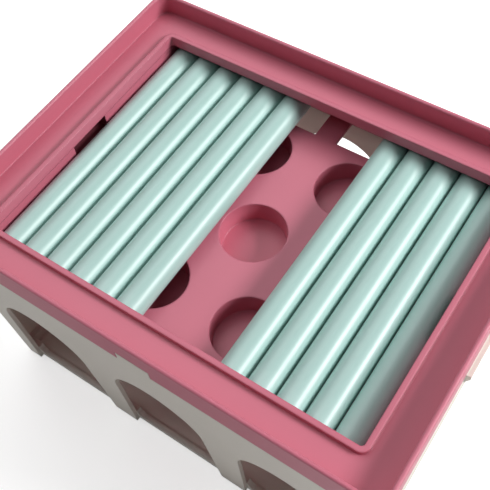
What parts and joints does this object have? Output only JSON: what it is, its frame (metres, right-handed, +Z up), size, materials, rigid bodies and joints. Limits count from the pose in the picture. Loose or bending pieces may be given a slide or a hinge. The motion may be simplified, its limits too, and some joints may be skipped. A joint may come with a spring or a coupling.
{
  "type": "pet puzzle feeder",
  "caption": "Box-shaped treat puzzle: eleven rods slide across a lipped tray of round wells, and the tray lifts off an open base with arches.",
  "frame": {"origin": "on the ground under the middle of the box", "axes": "+Z up; +X along the long sides, from the left stop of the rods to the right; +Y along the rods, from the near side to the far"},
  "size_m": [0.275, 0.206, 0.154],
  "materials": {
    "pink_plastic": "satin moulded",
    "mint_plastic": "smooth satin",
    "beige_plastic": "satin moulded",
    "pad_rubber": "matt",
    "screw_steel": "plain"
  },
  "bodies": {
    "base": {"base_shell": "beige_plastic", "foot_pad_1": "pad_rubber", "foot_pad_2": "pad_rubber", "foot_pad_3": "pad_rubber", "foot_pad_4": "pad_rubber"},
    "top": {"top_frame": "pink_plastic", "well_tray": "pink_plastic", "frame_screw_1": "screw_steel", "frame_screw_2": "screw_steel", "frame_screw_3": "screw_steel", "frame_screw_4": "screw_steel", "frame_screw_5": "screw_steel", "frame_screw_6": "screw_steel", "frame_screw_7": "screw_steel", "frame_screw_8": "screw_steel"},
    "rod_1": {"rod_1": "mint_plastic"},
    "rod_2": {"rod_2": "mint_plastic"},
    "rod_3": {"rod_3": "mint_plastic"},
    "rod_4": {"rod_4": "mint_plastic"},
    "rod_5": {"rod_5": "mint_plastic"},
    "rod_6": {"rod_6": "mint_plastic"},
    "rod_7": {"rod_7": "mint_plastic"},
    "rod_8": {"rod_8": "mint_plastic"},
    "rod_9": {"rod_9": "mint_plastic"},
    "rod_10": {"rod_10": "mint_plastic"},
    "rod_11": {"rod_11": "mint_plastic"}
  },
  "joints": [
    {"name": "lift_off", "type": "slide", "parent": "base", "child": "top", "axis": [0, 0, 1], "range_m": [0, 0.05]},
    {"name": "rod_1_slide", "type": "slide", "parent": "top", "child": "rod_1", "axis": [1, 0, 0], "range_m": [0, 0.00825]},
    {"name": "rod_2_slide", "type": "slide", "parent": "rod_1", "child": "rod_2", "axis": [1, 0, 0], "range_m": [0, 0.00825]},
    {"name": "rod_3_slide", "type": "slide", "parent": "rod_2", "child": "rod_3", "axis": [1, 0, 0], "range_m": [0, 0.00825]},
    {"name": "rod_4_slide", "type": "slide", "parent": "rod_3", "child": "rod_4", "axis": [1, 0, 0], "range_m": [0, 0.00825]},
    {"name": "rod_5_slide", "type": "slide", "parent": "rod_4", "child": "rod_5", "axis": [1, 0, 0], "range_m": [0, 0.00825]},
    {"name": "rod_6_slide", "type": "slide", "parent": "rod_5", "child": "rod_6", "axis": [1, 0, 0], "range_m": [0, 0.00825]},
    {"name": "rod_11_slide", "type": "slide", "parent": "top", "child": "rod_11", "axis": [1, 0, 0], "range_m": [-0.0099, 0]},
    {"name": "rod_10_slide", "type": "slide", "parent": "rod_11", "child": "rod_10", "axis": [1, 0, 0], "range_m": [-0.0099, 0]},
    {"name": "rod_9_slide", "type": "slide", "parent": "rod_10", "child": "rod_9", "axis": [1, 0, 0], "range_m": [-0.0099, 0]},
    {"name": "rod_8_slide", "type": "slide", "parent": "rod_9", "child": "rod_8", "axis": [1, 0, 0], "range_m": [-0.0099, 0]},
    {"name": "rod_7_slide", "type": "slide", "parent": "rod_8", "child": "rod_7", "axis": [1, 0, 0], "range_m": [-0.0099, 0]}
  ]
}
